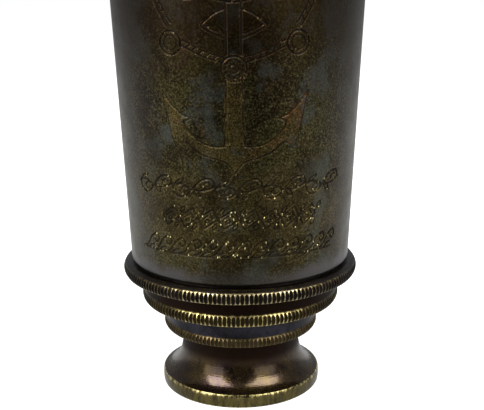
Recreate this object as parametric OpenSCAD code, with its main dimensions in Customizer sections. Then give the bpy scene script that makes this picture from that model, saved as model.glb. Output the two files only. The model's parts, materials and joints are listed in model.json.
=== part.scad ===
// Pull-out brass pocket telescope with three draws, closed and standing on its eyepiece.
// Millimetres. +Z is the optical axis, from the eyepiece rim at z = 0 up to the objective.

/* [Eyepiece] */
// Outer radius of the rim that the telescope stands on
rim_r = 19.2; // [18.8:0.1:20]
// Height of the rim's straight band
rim_h = 3.3; // [2.8:0.1:3.8]
// Outer radius of the cup's neck
neck_r = 14.2; // [14:0.1:15]
// Radius of the hole that the eye looks into
eye_hole_r = 4; // [3:0.5:6]

/* [Draw tubes] */
// Outer radius of the eyepiece draw
eyepiece_draw_r = 13.1; // [13:0.1:13.2]
// Outer radius of the second draw
second_draw_r = 17.3; // [17.2:0.1:17.4]
// Outer radius of the first draw
first_draw_r = 21.8; // [21.7:0.1:22]
// Wall of each draw tube
draw_wall = 0.8; // [0.7:0.1:0.9]

/* [Knurled rings] */
// Radius over the knurl of the ring on the second draw
second_ring_r = 18.6; // [18.5:0.1:19]
// Radius over the knurl of the ring on the first draw
first_ring_r = 23.7; // [23.5:0.1:24.2]
// Radius over the knurl of the ring on the barrel's tail
tail_ring_r = 28; // [27.8:0.1:29]
// Radius over the knurl of the objective ring
objective_ring_r = 33.6; // [33.4:0.1:34.6]
// Distance from one knurl groove to the next, round the ring
knurl_pitch = 1; // [0.9:0.05:1.2]
// Depth of a knurl groove
knurl_depth = 0.45; // [0.3:0.05:0.5]

/* [Barrel] */
// Outer radius of the tapered barrel at its tail
barrel_tail_r = 25.9; // [25.8:0.1:26.2]
// Outer radius of the tapered barrel at its mouth
barrel_mouth_r = 31.3; // [31.2:0.1:31.6]
// Length of the tapered barrel
barrel_len = 114; // [113:1:120]
// Wall of the barrel
barrel_wall = 0.9; // [0.8:0.1:1]

/* [Objective] */
// Radius of both objective lenses
objective_lens_r = 27.5; // [27.3:0.1:27.5]
// Outer radius of the smooth hood in front of the objective
hood_r = 32; // [31.8:0.1:32.2]
// Height of the smooth hood
hood_h = 9.1; // [8:0.1:12]

/* [Hidden] */
$fn = 96;

BRONZE = "#4a4234";
DARK_BRONZE = "#2f2a24";
WORN_BRASS = "#8d7440";
BRIGHT_BRASS = "#b8923f";
BLACKED = "#1d1b19";
GLASS = "#cfe3e6";

joint_gap = 0.1;        // between the rings of a closed telescope
run = 0.08;             // radial clearance of a draw in its sleeve
sleeve_wall = 0.8;
sleeve_reach = 18.2;    // from a sleeve's lower end to its springy upper end
lip_h = 1.2;            // the ring's lip under its sleeve
edge = 0.4;             // chamfer on a ring's plain edges
knurl_edge = 0.8;       // chamfer that the knurl runs out on

// Heights in the closed telescope
cup_h = 14.5;
second_ring_z = cup_h + joint_gap;
second_ring_h = 7;
first_ring_z = second_ring_z + second_ring_h + joint_gap;
first_ring_h = 6.7;
tail_ring_z = first_ring_z + first_ring_h + joint_gap;
tail_ring_h = 3.5;
barrel_z = tail_ring_z + tail_ring_h;
mouth_z = barrel_z + barrel_len;

// Knurled bands
second_knurl_h = 2.2;
first_knurl_h = 2.6;
tail_knurl_h = 2.9;
objective_knurl_h = 3.4;

// Draw tubes: z of the lower end, and of the front end under the stop collar's lip
eyepiece_draw_z = 10.8;
second_draw_z = second_ring_z + 2.4;
first_draw_z = first_ring_z + 2.3;
eyepiece_draw_top = 118;
second_draw_top = 124;
first_draw_top = 130;
collar_skirt = 5;
collar_lip = 1;
collar_lip_depth = 1.6; // how far a lip reaches inside its tube's bore

// Eyepiece optics, carried in the eyepiece draw
optic_r = eyepiece_draw_r - draw_wall;
cell_wall = 0.8;
small_lens_r = optic_r - cell_wall;
small_clear_r = small_lens_r - 1.3;
small_sag = 1.7;
small_edge = 1.5;
retainer_h = 1.7;
stop_h = 1.2;
cell_z = 4.4;
cell_lip = 0.8;
cell_top = 38;
field_lens_z = 32.4;
field_stop_z = 22;
erector_z = 64;
erector_top = 110;
erector_rear_lens_z = 69.5;
erector_front_lens_z = 104.5;
erector_stop_z = 86;

// Objective
objective_clear_r = objective_lens_r - 1.5;
spigot_h = 7;
spigot_r = objective_lens_r + 1.2;
lens_seat_z = mouth_z - 3.5;
flint_centre = 1.6;
crown_edge = 1.4;
interface_radius = 125;
front_radius = 160;
hood_bore_r = hood_r - 1.8;
objective_top = mouth_z + objective_knurl_h + hood_h;
tail_spigot_h = 7.5;
baffle_z = mouth_z - 10;

function sag(radius, r) = radius - sqrt(radius * radius - r * r);
function cap_radius(r, s) = (r * r + s * s) / (2 * s);
function barrel_r(z) = barrel_tail_r
    + (barrel_mouth_r - barrel_tail_r) * (z - barrel_z) / barrel_len;
function bore_r(z) = barrel_r(z) - barrel_wall;
function arc(cx, cz, r, from, to, steps = 8) = [for (i = [0 : steps])
    let (a = from + (to - from) * i / steps) [cx + r * cos(a), cz + r * sin(a)]];
// A lens face from the axis out to r: way is 1 where it rises towards the edge
function face(radius, r, apex, way, steps = 12) = [for (i = [0 : steps])
    [r * i / steps, apex + way * sag(radius, r * i / steps)]];
function back(points) = [for (i = [len(points) - 1 : -1 : 0]) points[i]];

small_radius = cap_radius(small_lens_r, small_sag);
small_apex = small_edge + small_sag;
// Where a flat retaining ring touches a small lens, above the lens's flat face
small_touch = small_apex - sag(small_radius, small_clear_r) + 0.03;
interface_apex = lens_seat_z + flint_centre;
interface_edge = interface_apex + sag(interface_radius, objective_lens_r);
crown_front_edge = interface_edge + crown_edge;
crown_apex = crown_front_edge + sag(front_radius, objective_lens_r);
objective_retainer_z = crown_apex - sag(front_radius, objective_clear_r) + 0.05;
objective_retainer_h = 2.2;
objective_retainer_r = objective_lens_r + 1.3;

// A plain ring with chamfered outer edges
module ring(outer, inner, z, h, bevel = 0) {
    rotate_extrude()
        polygon([[inner, z], [outer - bevel, z], [outer, z + bevel],
            [outer, z + h - bevel], [outer - bevel, z + h], [inner, z + h]]);
}

// A knurled band: straight grooves that run out on a chamfer at both edges
module knurled_band(outer, inner, z, h) {
    teeth = 4 * round(2 * PI * outer / knurl_pitch / 4);
    root = outer - knurl_depth;
    past = 0.3; // the chamfers' cones meet outside the teeth's tips
    rise = (knurl_edge + past) / 2;
    outline = [for (i = [0 : teeth - 1])
        let (a = 360 * i / teeth, b = 360 * (i + 0.5) / teeth)
        each [[outer * cos(a), outer * sin(a)], [root * cos(b), root * sin(b)]]];
    difference() {
        intersection() {
            translate([0, 0, z]) linear_extrude(h) polygon(outline);
            rotate_extrude()
                polygon([[0, z], [outer - knurl_edge, z], [outer + past, z + rise],
                    [outer + past, z + h - rise], [outer - knurl_edge, z + h],
                    [0, z + h]]);
        }
        translate([0, 0, z - 1]) cylinder(r = inner, h = h + 2);
    }
}

// A thin spring sleeve: four slits let its upper end grip the draw inside it
module guide_sleeve(draw_r, z) {
    slit_w = 0.8;
    slit_h = 10;
    difference() {
        ring(draw_r + run + sleeve_wall, draw_r + run, z, sleeve_reach);
        for (a = [0, 90])
            rotate(a) translate([-draw_r - 5, -slit_w / 2, z + sleeve_reach - slit_h])
                cube([2 * draw_r + 10, slit_w, slit_h + 1]);
    }
}

// A collar on a draw's front end, which stops it against the sleeve of the next tube
module stop_collar(draw_r, outer, top) {
    rotate_extrude()
        polygon([[draw_r, top - collar_skirt], [outer - edge, top - collar_skirt],
            [outer, top - collar_skirt + edge], [outer, top + collar_lip - edge],
            [outer - edge, top + collar_lip],
            [draw_r - draw_wall - collar_lip_depth, top + collar_lip],
            [draw_r - draw_wall - collar_lip_depth, top], [draw_r, top]]);
}

// The turned ring on a draw's tail: it holds the tube's end in a slot, and inside that
// a spigot carries the sleeve of the next draw. Its shoulder can lean in towards the top
module draw_ring(outer, knurl_h, z, h, tube_r, tube_z, inner_draw_r, spigot_top, lean = 0) {
    shoulder_r = outer - knurl_depth - 0.1;
    tube_bore = tube_r - draw_wall;
    sleeve_r = inner_draw_r + run + sleeve_wall;
    union() {
        knurled_band(outer, tube_r + 0.3, z, knurl_h);
        rotate_extrude()
            polygon([[inner_draw_r + run, z], [tube_r + 0.3, z],
                [tube_r + 0.3, z + knurl_h - 0.6], [shoulder_r, z + knurl_h - 0.6],
                [shoulder_r - lean, z + h - edge], [shoulder_r - lean - edge, z + h],
                [tube_r, z + h], [tube_r, tube_z], [tube_bore, tube_z],
                [tube_bore, spigot_top], [sleeve_r, spigot_top],
                [sleeve_r, z + lip_h], [inner_draw_r + run, z + lip_h]]);
    }
}

// A plano-convex lens: flat face at z, convex side up, or down when flipped
module small_lens(z, flipped = false) {
    color(GLASS) translate([0, 0, z]) mirror([0, 0, flipped ? 1 : 0])
        rotate_extrude()
            polygon(concat([[0, 0], [small_lens_r, 0]],
                back(face(small_radius, small_lens_r, small_apex, -1))));
}

module lens_retainer(z) {
    color(BLACKED) difference() {
        ring(small_lens_r, small_clear_r, z, retainer_h);
        for (side = [-1, 1])
            translate([side * small_lens_r - 1, -0.6, z + retainer_h / 2])
                cube([2, 1.2, retainer_h]);
    }
}

module lens_retainer_flipped(z) {
    translate([0, 0, z]) mirror([0, 0, 1]) lens_retainer(0);
}

module aperture_stop(z, hole) {
    color(BLACKED) rotate_extrude()
        polygon([[hole, z], [small_lens_r, z], [small_lens_r, z + stop_h],
            [hole + 1, z + stop_h]]);
}

// A tube for the small optics, with an inner lip at each height in lips
module optic_tube(z, top, lips) {
    color(BLACKED) union() {
        ring(optic_r, small_lens_r, z, top - z);
        for (lip = lips)
            ring(small_lens_r + 0.1, small_clear_r, lip, cell_lip);
    }
}

module barrel_tube() {
    roll = 0.8; // the rolled edge at the tail
    rise = barrel_r(barrel_z + roll);
    color(BRONZE) rotate_extrude()
        polygon(concat(
            [[bore_r(barrel_z), barrel_z]],
            arc(rise - roll, barrel_z + roll, roll, -90, 0),
            [[barrel_mouth_r, mouth_z], [barrel_mouth_r - barrel_wall, mouth_z]]));
}

module barrel_tail_bush() {
    low = barrel_z + 0.6;
    high = barrel_z + tail_spigot_h + 0.5;
    inner = first_draw_r + run + sleeve_wall + 1.1;
    color(WORN_BRASS) rotate_extrude()
        polygon([[inner, low], [bore_r(low), low], [bore_r(high), high], [inner, high]]);
}

module barrel_tail_ring() {
    sleeve_r = first_draw_r + run + sleeve_wall;
    spigot = sleeve_r + 1.1;
    seat_r = barrel_tail_r - 0.7;
    flat_z = tail_ring_z + tail_knurl_h;
    top = barrel_z + tail_spigot_h;
    color(DARK_BRONZE) union() {
        knurled_band(tail_ring_r, seat_r, tail_ring_z, tail_knurl_h);
        rotate_extrude()
            polygon([[first_draw_r + run, tail_ring_z], [seat_r, tail_ring_z],
                [seat_r, barrel_z], [spigot, barrel_z], [spigot, top],
                [sleeve_r, top], [sleeve_r, tail_ring_z + lip_h],
                [first_draw_r + run, tail_ring_z + lip_h]]);
    }
}

module barrel_guide_sleeve() {
    color(BRIGHT_BRASS) guide_sleeve(first_draw_r, tail_ring_z + lip_h);
}

module barrel_mouth_bush() {
    low = mouth_z - spigot_h;
    high = mouth_z - 0.5;
    color(WORN_BRASS) rotate_extrude()
        polygon([[spigot_r, low], [bore_r(low), low], [bore_r(high), high],
            [spigot_r, high]]);
}

module barrel_baffle() {
    hole = first_draw_r - 0.3;
    color(BLACKED) rotate_extrude()
        polygon([[hole, baffle_z], [bore_r(baffle_z), baffle_z],
            [bore_r(baffle_z + 1), baffle_z + 1], [hole + 0.7, baffle_z + 1]]);
}

module objective_ring() {
    flange_z = mouth_z;
    band_top = flange_z + objective_knurl_h;
    bore_step = objective_retainer_z + objective_retainer_h + 0.6;
    lens_bore = objective_lens_r + 0.05;
    retainer_seat = crown_front_edge + 0.1;
    color(DARK_BRONZE) union() {
        knurled_band(objective_ring_r, hood_r - 0.5, flange_z, objective_knurl_h);
        rotate_extrude()
            polygon(concat(
                [[objective_clear_r, mouth_z - spigot_h], [spigot_r, mouth_z - spigot_h],
                    [spigot_r, flange_z], [hood_r - 0.5, flange_z],
                    [hood_r - 0.5, band_top], [hood_r, band_top]],
                arc(hood_r - 0.6, objective_top - 0.6, 0.6, 0, 90),
                [[hood_bore_r, objective_top], [hood_bore_r, bore_step],
                    [objective_retainer_r, bore_step],
                    [objective_retainer_r, retainer_seat], [lens_bore, retainer_seat],
                    [lens_bore, lens_seat_z], [objective_clear_r, lens_seat_z]]));
    }
}

module objective_flint_lens() {
    color(GLASS) rotate_extrude()
        polygon(concat([[0, lens_seat_z], [objective_lens_r, lens_seat_z]],
            back(face(interface_radius, objective_lens_r, interface_apex, 1))));
}

module objective_crown_lens() {
    cement = 0.02;
    color(GLASS) rotate_extrude()
        polygon(concat(
            face(interface_radius, objective_lens_r, interface_apex + cement, 1),
            back(face(front_radius, objective_lens_r, crown_apex, -1))));
}

module objective_retaining_ring() {
    slot_w = 1.6;
    z = objective_retainer_z;
    color(BLACKED) difference() {
        rotate_extrude()
            polygon([[objective_clear_r, z], [objective_retainer_r, z],
                [objective_retainer_r, z + objective_retainer_h],
                [objective_clear_r + 0.9, z + objective_retainer_h]]);
        for (side = [-1, 1])
            translate([side * objective_retainer_r - 1.4, -slot_w / 2,
                z + objective_retainer_h / 2])
                cube([2.8, slot_w, objective_retainer_h]);
    }
}

module draw_tube(outer, z, top) {
    color(BRONZE) ring(outer, outer - draw_wall, z, top - z);
}

module first_draw_tube() {
    draw_tube(first_draw_r, first_draw_z, first_draw_top);
}

module first_draw_ring() {
    color(DARK_BRONZE) draw_ring(first_ring_r, first_knurl_h, first_ring_z,
        first_ring_h, first_draw_r, first_draw_z, second_draw_r,
        first_ring_z + first_ring_h + 1.6, lean = 0.6);
}

module first_draw_guide_sleeve() {
    color(BRIGHT_BRASS) guide_sleeve(second_draw_r, first_ring_z + lip_h);
}

module first_draw_stop_collar() {
    color(WORN_BRASS) stop_collar(first_draw_r, first_draw_r + 1.8, first_draw_top);
}

module second_draw_tube() {
    draw_tube(second_draw_r, second_draw_z, second_draw_top);
}

module second_draw_ring() {
    color(DARK_BRONZE) draw_ring(second_ring_r, second_knurl_h, second_ring_z,
        second_ring_h, second_draw_r, second_draw_z, eyepiece_draw_r,
        second_ring_z + second_ring_h + 1.4);
}

module second_draw_guide_sleeve() {
    color(BRIGHT_BRASS) guide_sleeve(eyepiece_draw_r, second_ring_z + lip_h);
}

module second_draw_stop_collar() {
    color(WORN_BRASS) stop_collar(second_draw_r, first_draw_r - draw_wall - 0.1,
        second_draw_top);
}

module eyepiece_draw_tube() {
    draw_tube(eyepiece_draw_r, eyepiece_draw_z, eyepiece_draw_top);
}

module eyepiece_draw_stop_collar() {
    color(WORN_BRASS) stop_collar(eyepiece_draw_r, second_draw_r - draw_wall - 0.1,
        eyepiece_draw_top);
}

module eyepiece_cup() {
    bell_top = 10.9;
    bell_power = 1.9; // between a straight cone, 1, and a quarter ellipse, 2
    bell_steps = 14;
    bell_r = rim_r - 0.2;
    foot_r = rim_r - 1.6;
    foot_round = 0.6;
    dish_z = 3.4;
    // The flare: a superellipse that is upright at the neck and flat at the rim
    bell = [for (i = [0 : bell_steps])
        let (a = 90 * i / bell_steps, power = 2 / bell_power)
        [bell_r - (bell_r - neck_r) * pow(sin(a), power),
            bell_top - (bell_top - rim_h) * pow(cos(a), power)]];
    color(WORN_BRASS) rotate_extrude()
        polygon(concat(
            [[foot_r, 0]],
            arc(rim_r - foot_round, foot_round, foot_round, -90, 0),
            [[rim_r, rim_h - 0.1]], bell,
            [[neck_r, cup_h - edge], [neck_r - edge, cup_h], [eyepiece_draw_r, cup_h],
                [eyepiece_draw_r, eyepiece_draw_z], [optic_r, eyepiece_draw_z],
                [optic_r, cell_z], [eye_hole_r, cell_z], [eye_hole_r, dish_z]],
            arc(eye_hole_r + 0.3, dish_z - 0.3, 0.3, 180, 100, 3)));
}

module eyepiece_cell_tube() {
    optic_tube(cell_z, cell_top, [cell_z, field_lens_z - cell_lip]);
}

module eye_lens() {
    small_lens(cell_z + cell_lip);
}

module eye_lens_retaining_ring() {
    lens_retainer(cell_z + cell_lip + small_touch);
}

module field_stop() {
    aperture_stop(field_stop_z, 6.5);
}

module field_lens() {
    small_lens(field_lens_z);
}

module field_lens_retaining_ring() {
    lens_retainer(field_lens_z + small_touch);
}

module erector_tube() {
    optic_tube(erector_z, erector_top,
        [erector_rear_lens_z, erector_front_lens_z - cell_lip]);
}

module erector_rear_lens() {
    small_lens(erector_rear_lens_z, flipped = true);
}

module erector_rear_retaining_ring() {
    lens_retainer_flipped(erector_rear_lens_z - small_touch);
}

module erector_aperture_stop() {
    aperture_stop(erector_stop_z, 3);
}

module erector_front_lens() {
    small_lens(erector_front_lens_z);
}

module erector_front_retaining_ring() {
    lens_retainer(erector_front_lens_z + small_touch);
}

barrel_tube();
barrel_tail_bush();
barrel_tail_ring();
barrel_guide_sleeve();
barrel_mouth_bush();
barrel_baffle();
objective_ring();
objective_crown_lens();
objective_flint_lens();
objective_retaining_ring();
first_draw_tube();
first_draw_ring();
first_draw_guide_sleeve();
first_draw_stop_collar();
second_draw_tube();
second_draw_ring();
second_draw_guide_sleeve();
second_draw_stop_collar();
eyepiece_draw_tube();
eyepiece_draw_stop_collar();
eyepiece_cup();
eyepiece_cell_tube();
eye_lens();
eye_lens_retaining_ring();
field_stop();
field_lens();
field_lens_retaining_ring();
erector_tube();
erector_rear_lens();
erector_rear_retaining_ring();
erector_aperture_stop();
erector_front_lens();
erector_front_retaining_ring();
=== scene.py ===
"""Looks of the brass pocket telescope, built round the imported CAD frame.

Every length is in metres in the row's frame: +Z runs from the eyepiece to the objective,
and the engraved front of the barrel faces -Y.
"""

import json
import math

import bmesh
import bpy
import numpy as np
from mathutils import Matrix, Vector, kdtree


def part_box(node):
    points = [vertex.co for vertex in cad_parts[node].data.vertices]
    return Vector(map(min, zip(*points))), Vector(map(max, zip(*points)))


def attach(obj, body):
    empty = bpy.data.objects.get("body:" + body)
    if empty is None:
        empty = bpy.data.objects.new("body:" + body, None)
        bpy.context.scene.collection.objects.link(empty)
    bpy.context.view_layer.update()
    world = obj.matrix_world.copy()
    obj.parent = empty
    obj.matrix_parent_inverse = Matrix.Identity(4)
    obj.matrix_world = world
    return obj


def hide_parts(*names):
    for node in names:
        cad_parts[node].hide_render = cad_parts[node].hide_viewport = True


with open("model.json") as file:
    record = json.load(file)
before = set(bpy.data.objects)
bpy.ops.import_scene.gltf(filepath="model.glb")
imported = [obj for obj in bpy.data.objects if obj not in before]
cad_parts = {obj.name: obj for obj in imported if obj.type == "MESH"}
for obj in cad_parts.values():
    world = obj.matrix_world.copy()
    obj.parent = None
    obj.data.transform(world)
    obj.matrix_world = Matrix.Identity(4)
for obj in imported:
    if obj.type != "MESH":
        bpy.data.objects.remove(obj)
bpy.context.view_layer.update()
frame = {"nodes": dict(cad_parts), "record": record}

MM = 0.001
RUN = 0.08 * MM  # radial clearance of a draw in its sleeve
KNURL_PITCH = 1.0 * MM
KNURL_DEPTH = 0.42 * MM
KNURL_INSET = 1.2 * MM  # how far inside the knurl's crown a ring's flat end stops
DRAW_WALL = 0.8 * MM
SLEEVE_WALL = 0.8 * MM
LIP = 1.2 * MM  # thickness of a ring's lip, which holds the guide sleeve above it


# ---------------------------------------------------------------- sizes from the frame
def low(node):
    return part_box(node)[0].z


def high(node):
    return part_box(node)[1].z


def radius(node):
    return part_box(node)[1].x


def outer_at(node, z):
    """The largest radius that the CAD node has at its vertices nearest to height z."""
    points = np.array([v.co for v in frame["nodes"][node].data.vertices])
    gap = np.abs(points[:, 2] - z)
    near = points[gap < gap.min() + 0.01 * MM]
    return float(np.hypot(near[:, 0], near[:, 1]).max())


# ---------------------------------------------------------------- mesh building
def add_object(name, points, faces, sharp=32.0, **values):
    """A smooth-shaded closed mesh. values are numbers kept at each point, by name."""
    mesh = bpy.data.meshes.new(name)
    mesh.from_pydata(points, [], faces)
    for key, numbers in values.items():
        layer = mesh.attributes.new(key, "FLOAT", "POINT")
        layer.data.foreach_set("value", np.asarray(numbers, np.float32))
    work = bmesh.new()
    work.from_mesh(mesh)
    bmesh.ops.recalc_face_normals(work, faces=work.faces)
    work.to_mesh(mesh)
    work.free()
    mesh.shade_smooth()
    mesh.set_sharp_from_angle(angle=math.radians(sharp))
    piece = bpy.data.objects.new(name, mesh)
    bpy.context.scene.collection.objects.link(piece)
    return piece


def grid_faces(columns, rows):
    """Quads of a grid whose columns and rows both close on themselves."""
    faces = []
    for i in range(columns):
        a, b = i * rows, (i + 1) % columns * rows
        for j in range(rows):
            k = (j + 1) % rows
            faces.append((a + j, b + j, b + k, a + k))
    return faces


def rounded(corners, steps=5):
    """Rounds an outline's corners (r, z, fillet), or (r, z, 0, wear) for a point that is
    kept. Returns rows of r, z and wear, which is 1 on the crown of a fillet that stands
    out."""
    points = [Vector(corner[:2]) for corner in corners]
    area = sum(a.x * b.y - b.x * a.y for a, b in zip(points, points[1:] + points[:1]))
    rows = []
    for i, (r, z, fillet, *kept) in enumerate(corners):
        if fillet <= 0:
            rows.append((r, z, kept[0] if kept else 0.0))
            continue
        here = points[i]
        back = points[i - 1] - here
        ahead = points[(i + 1) % len(points)] - here
        turn = back.angle(ahead)
        cut = fillet / math.tan(turn / 2)
        cut = min(cut, 0.48 * back.length, 0.48 * ahead.length)
        bend = cut * math.tan(turn / 2)
        start = here + back.normalized() * cut
        end = here + ahead.normalized() * cut
        inwards = (back.normalized() + ahead.normalized()).normalized()
        middle = here + inwards * math.hypot(cut, bend)
        convex = (ahead.x * back.y - ahead.y * back.x) * area > 0
        a, b = start - middle, end - middle
        for k in range(steps + 1):
            t = k / steps
            way = (a * (1 - t) + b * t).normalized() * bend
            worn = 0.35 + 0.65 * math.sin(math.pi * t) if convex else 0.0
            rows.append((middle.x + way.x, middle.y + way.y, worn))
    return rows


def band(outer, z, height, steps=12):
    """The bulged edge of a knurled ring, from its foot up. It drops back past the
    knurl's depth towards both ends, so that the grooves end in ovals and leave a plain
    line that the hand has worn bright."""
    line = []
    for k in range(steps + 1):
        t = abs(2 * k / steps - 1) ** 0.75
        drop = KNURL_DEPTH * (t / 0.95) ** 1.9
        side = 1 if 2 * k > steps else -1
        line.append((outer - drop, z + height * (1 + side * t) / 2, 0, 0.75 + 0.25 * t))
    return line


def lathe(name, rows, segments):
    """Turns closed rows of (r, z, wear) about the Z axis."""
    points, wear = [], []
    for i in range(segments):
        a = 2 * math.pi * i / segments
        c, s = math.cos(a), math.sin(a)
        for r, z, worn in rows:
            points.append((r * c, r * s, z))
            wear.append(worn)
    return add_object(name, points, grid_faces(segments, len(rows)), wear=wear)


def knurl_profile(land=0.09, steps=8):
    """One knurl tooth as (place in the pitch, depth from 0 to 1): a narrow crowned land,
    then a groove with steep sides and a round bottom."""
    half = 0.5 - land
    profile = [(-land, 0.1), (-land / 2, 0.0), (land / 2, 0.0), (land, 0.1)]
    for k in range(1, steps):
        a = math.pi * k / steps
        profile.append((0.5 - half * math.cos(a), math.sin(a) ** 0.8))
    return profile


def knurled(name, rows, bottom, top, outer):
    """Turns rows about the Z axis with straight knurl grooves cut where the outline
    stands out between the heights bottom and top. Wear stays on the lands and the plain
    lines, and is strongest at the front and the back."""
    teeth = 4 * round(2 * math.pi * outer / KNURL_PITCH / 4)
    tooth = knurl_profile()
    points, wear = [], []
    for i in range(teeth):
        for place, depth in tooth:
            a = 2 * math.pi * (i + place) / teeth
            c, s = math.cos(a), math.sin(a)
            groove = outer - KNURL_DEPTH * depth
            for r, z, worn in rows:
                if bottom <= z <= top and r > groove:
                    gone = (r - groove) / KNURL_DEPTH
                    worn *= max(0.0, 1 - 12 * gone)
                    r = groove
                points.append((r * c, r * s, z))
                wear.append(worn * (0.2 + 0.8 * s * s))
    columns = teeth * len(tooth)
    return add_object(name, points, grid_faces(columns, len(rows)), wear=wear)


# ---------------------------------------------------------------- engraving strokes
# The engraving is drawn on the barrel's unrolled front: u runs to the right along the
# surface and z up, both in millimetres. A stroke is (points, width, depth).
WHEEL_Z = 103.0  # height of the wheel's middle
BOSS = (-0.8, 79.3)  # middle of the anchor's boss, below the wheel's
STROKE_STEP = 0.25  # spacing of the points on a stroke's curve


def circle(u, z, r):
    turns = max(8, int(2 * math.pi * r / STROKE_STEP))
    angles = [2 * math.pi * k / turns for k in range(turns + 1)]
    return [(u + r * math.cos(a), z + r * math.sin(a)) for a in angles]


def curve(knots):
    """A smooth curve through the knots."""
    knots = [Vector(k) for k in knots]
    ends = [2 * knots[0] - knots[1]] + knots + [2 * knots[-1] - knots[-2]]
    points = []
    for a, b, c, d in zip(ends, ends[1:], ends[2:], ends[3:]):
        count = max(2, int((c - b).length / STROKE_STEP))
        for k in range(count):
            t = k / count
            square = (2 * a - 5 * b + 4 * c - d) * t * t
            cube = (3 * b - a - 3 * c + d) * t**3
            points.append(0.5 * (2 * b + (c - a) * t + square + cube))
    points.append(knots[-1])
    return [(p.x, p.y) for p in points]


def travelled(p):
    """The distance run along the points p on reaching each of them."""
    return np.concatenate([[0], np.cumsum(np.linalg.norm(np.diff(p, axis=0), axis=1))])


def rope(points, half, width, depth, pitch=1.5):
    """A twisted cord along points: two edges and slanting strokes between them."""
    p = np.array(points)
    way = np.gradient(p, axis=0)
    way /= np.linalg.norm(way, axis=1)[:, None]
    side = np.stack([-way[:, 1], way[:, 0]], axis=1) * half
    strokes = [([tuple(q) for q in edge], width, depth) for edge in (p + side, p - side)]
    run = travelled(p)
    for s in np.arange(pitch, run[-1] - pitch / 2, pitch):
        i = int(np.searchsorted(run, s))
        slant = side[i] * 0.8 + way[i] * 0.55 * half
        ends = [tuple(p[i] + slant), tuple(p[i] - slant)]
        strokes.append((ends, width * 0.85, depth * 0.8))
    return strokes


def beads(points, r, pitch):
    """A row of small punched rings along points."""
    p = np.array(points)
    run = travelled(p)
    places = [p[int(np.searchsorted(run, s))] for s in np.arange(pitch / 2, run[-1], pitch)]
    return [(circle(*place, r), 0.32, 0.8) for place in places]


def wheel():
    """A ship's wheel: two felloe rings, a hub and eight turned spokes with handles. The
    lowest spoke runs on down to the anchor's boss, with a barb on either side."""
    rim, inner, hub, tip = 10.4, 8.2, 2.5, 13.9
    lowest = 6
    centre = Vector((BOSS[0], WHEEL_Z))
    strokes = [(circle(*centre, r), 0.5, 0.9) for r in (rim, inner, hub)]
    strokes.append((circle(*centre, 1.1), 0.4, 0.8))
    for k in range(8):
        a = math.radians(45 * k)
        out = Vector((math.cos(a), math.sin(a)))
        side = Vector((-out.y, out.x))
        edges = [((hub, 0.5), (4.5, 0.9), (6.3, 0.45), (inner, 0.6))]
        if k != lowest:
            edges.append(((rim, 0.55), (11.4, 0.45), (12.6, 1.05), (tip, 0.1)))
        for sign in (-1, 1):
            for edge in edges:
                line = [centre + out * r + side * sign * w for r, w in edge]
                strokes.append((curve(line), 0.42, 0.8))
        middle = centre + out * (rim + inner) / 2
        strokes.append((circle(middle.x, middle.y, 0.35), 0.35, 0.7))
    for side in (-1, 1):
        lines = [
            ([(1.5, 92.6), (1.5, 82.0)], 0.5),
            ([(1.9, 91.2), (4.0, 90.2), (6.6, 88.0)], 0.42),
            ([(6.6, 88.0), (4.4, 86.6), (1.9, 85.5)], 0.5),
            ([(5.6, 88.1), (4.0, 87.2), (1.9, 86.4)], 0.4),
        ]
        for line, width in lines:
            strokes.append((curve([(centre.x + side * a, z) for a, z in line]), width, 0.9))
    return strokes


# The outlines of the anchor's right half: (distance aside, height). The keel runs out
# from its middle to the fluke, which stands out from the arm with a barb on either
# side, and the deck runs back in to the shank.
KEEL = [
    (0.0, 57.4), (0.9, 58.7), (2.2, 59.9), (4.8, 60.7), (7.3, 61.6), (8.7, 62.5),
    (10.5, 64.0),
]
FLUKE = [(10.5, 64.0), (13.1, 62.9), (13.9, 65.8), (14.8, 69.6), (15.8, 74.4)]
BARB = [(15.8, 74.4), (13.9, 71.9), (11.2, 69.6), (9.3, 69.0), (11.0, 68.3)]
DECK = [(11.0, 68.3), (10.3, 66.8), (8.5, 64.9), (6.8, 63.8), (4.3, 63.1), (1.9, 63.2)]


def beside(side, line):
    """A line of the anchor's right half, for the right side (1) or the left one (-1)."""
    return [(BOSS[0] + side * a, z) for a, z in line]


def anchor():
    """The anchor below the wheel: roped stock with ring ends, boss, shank and flukes."""
    strokes = [(circle(*BOSS, 2.6), 0.5, 1.0), (circle(*BOSS, 0.9), 0.4, 0.8)]
    strokes += beads(circle(*BOSS, 1.8), 0.2, 1.0)
    stock = [(2.2, 81.1), (6.0, 82.3), (10.6, 84.5)]
    stock_end = [(13.2, 84.4)]
    shank = [(1.6, 76.9), (1.7, 70.0), (2.1, 63.1)]
    beading = [(1.0, 76.4), (1.1, 70.0), (1.4, 63.8)]
    for side in (-1, 1):
        strokes += rope(curve(beside(side, stock)), 0.55, 0.4, 0.9)
        end = beside(side, stock_end)[0]
        strokes += [(circle(*end, 2.4), 0.5, 1.0), (circle(*end, 1.5), 0.35, 0.7)]
        for line, width in ((shank, 0.42), (KEEL, 0.55), (DECK, 0.45)):
            strokes.append((curve(beside(side, line)), width, 1.05))
        strokes.append((beside(side, FLUKE), 0.34, 0.4))
        strokes.append((beside(side, BARB), 0.45, 1.0))
        strokes += beads(beside(side, beading), 0.2, 1.05)
    return strokes


def wreath():
    """The rope that runs round over the wheel from one end of the stock to the other."""
    wide, tall = 18.0, 22.0
    angles = [math.radians(a) for a in np.linspace(-43, 223, 400)]
    line = [(BOSS[0] + wide * math.cos(a), WHEEL_Z + tall * math.sin(a)) for a in angles]
    return rope(line, 0.6, 0.42, 0.9)


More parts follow.
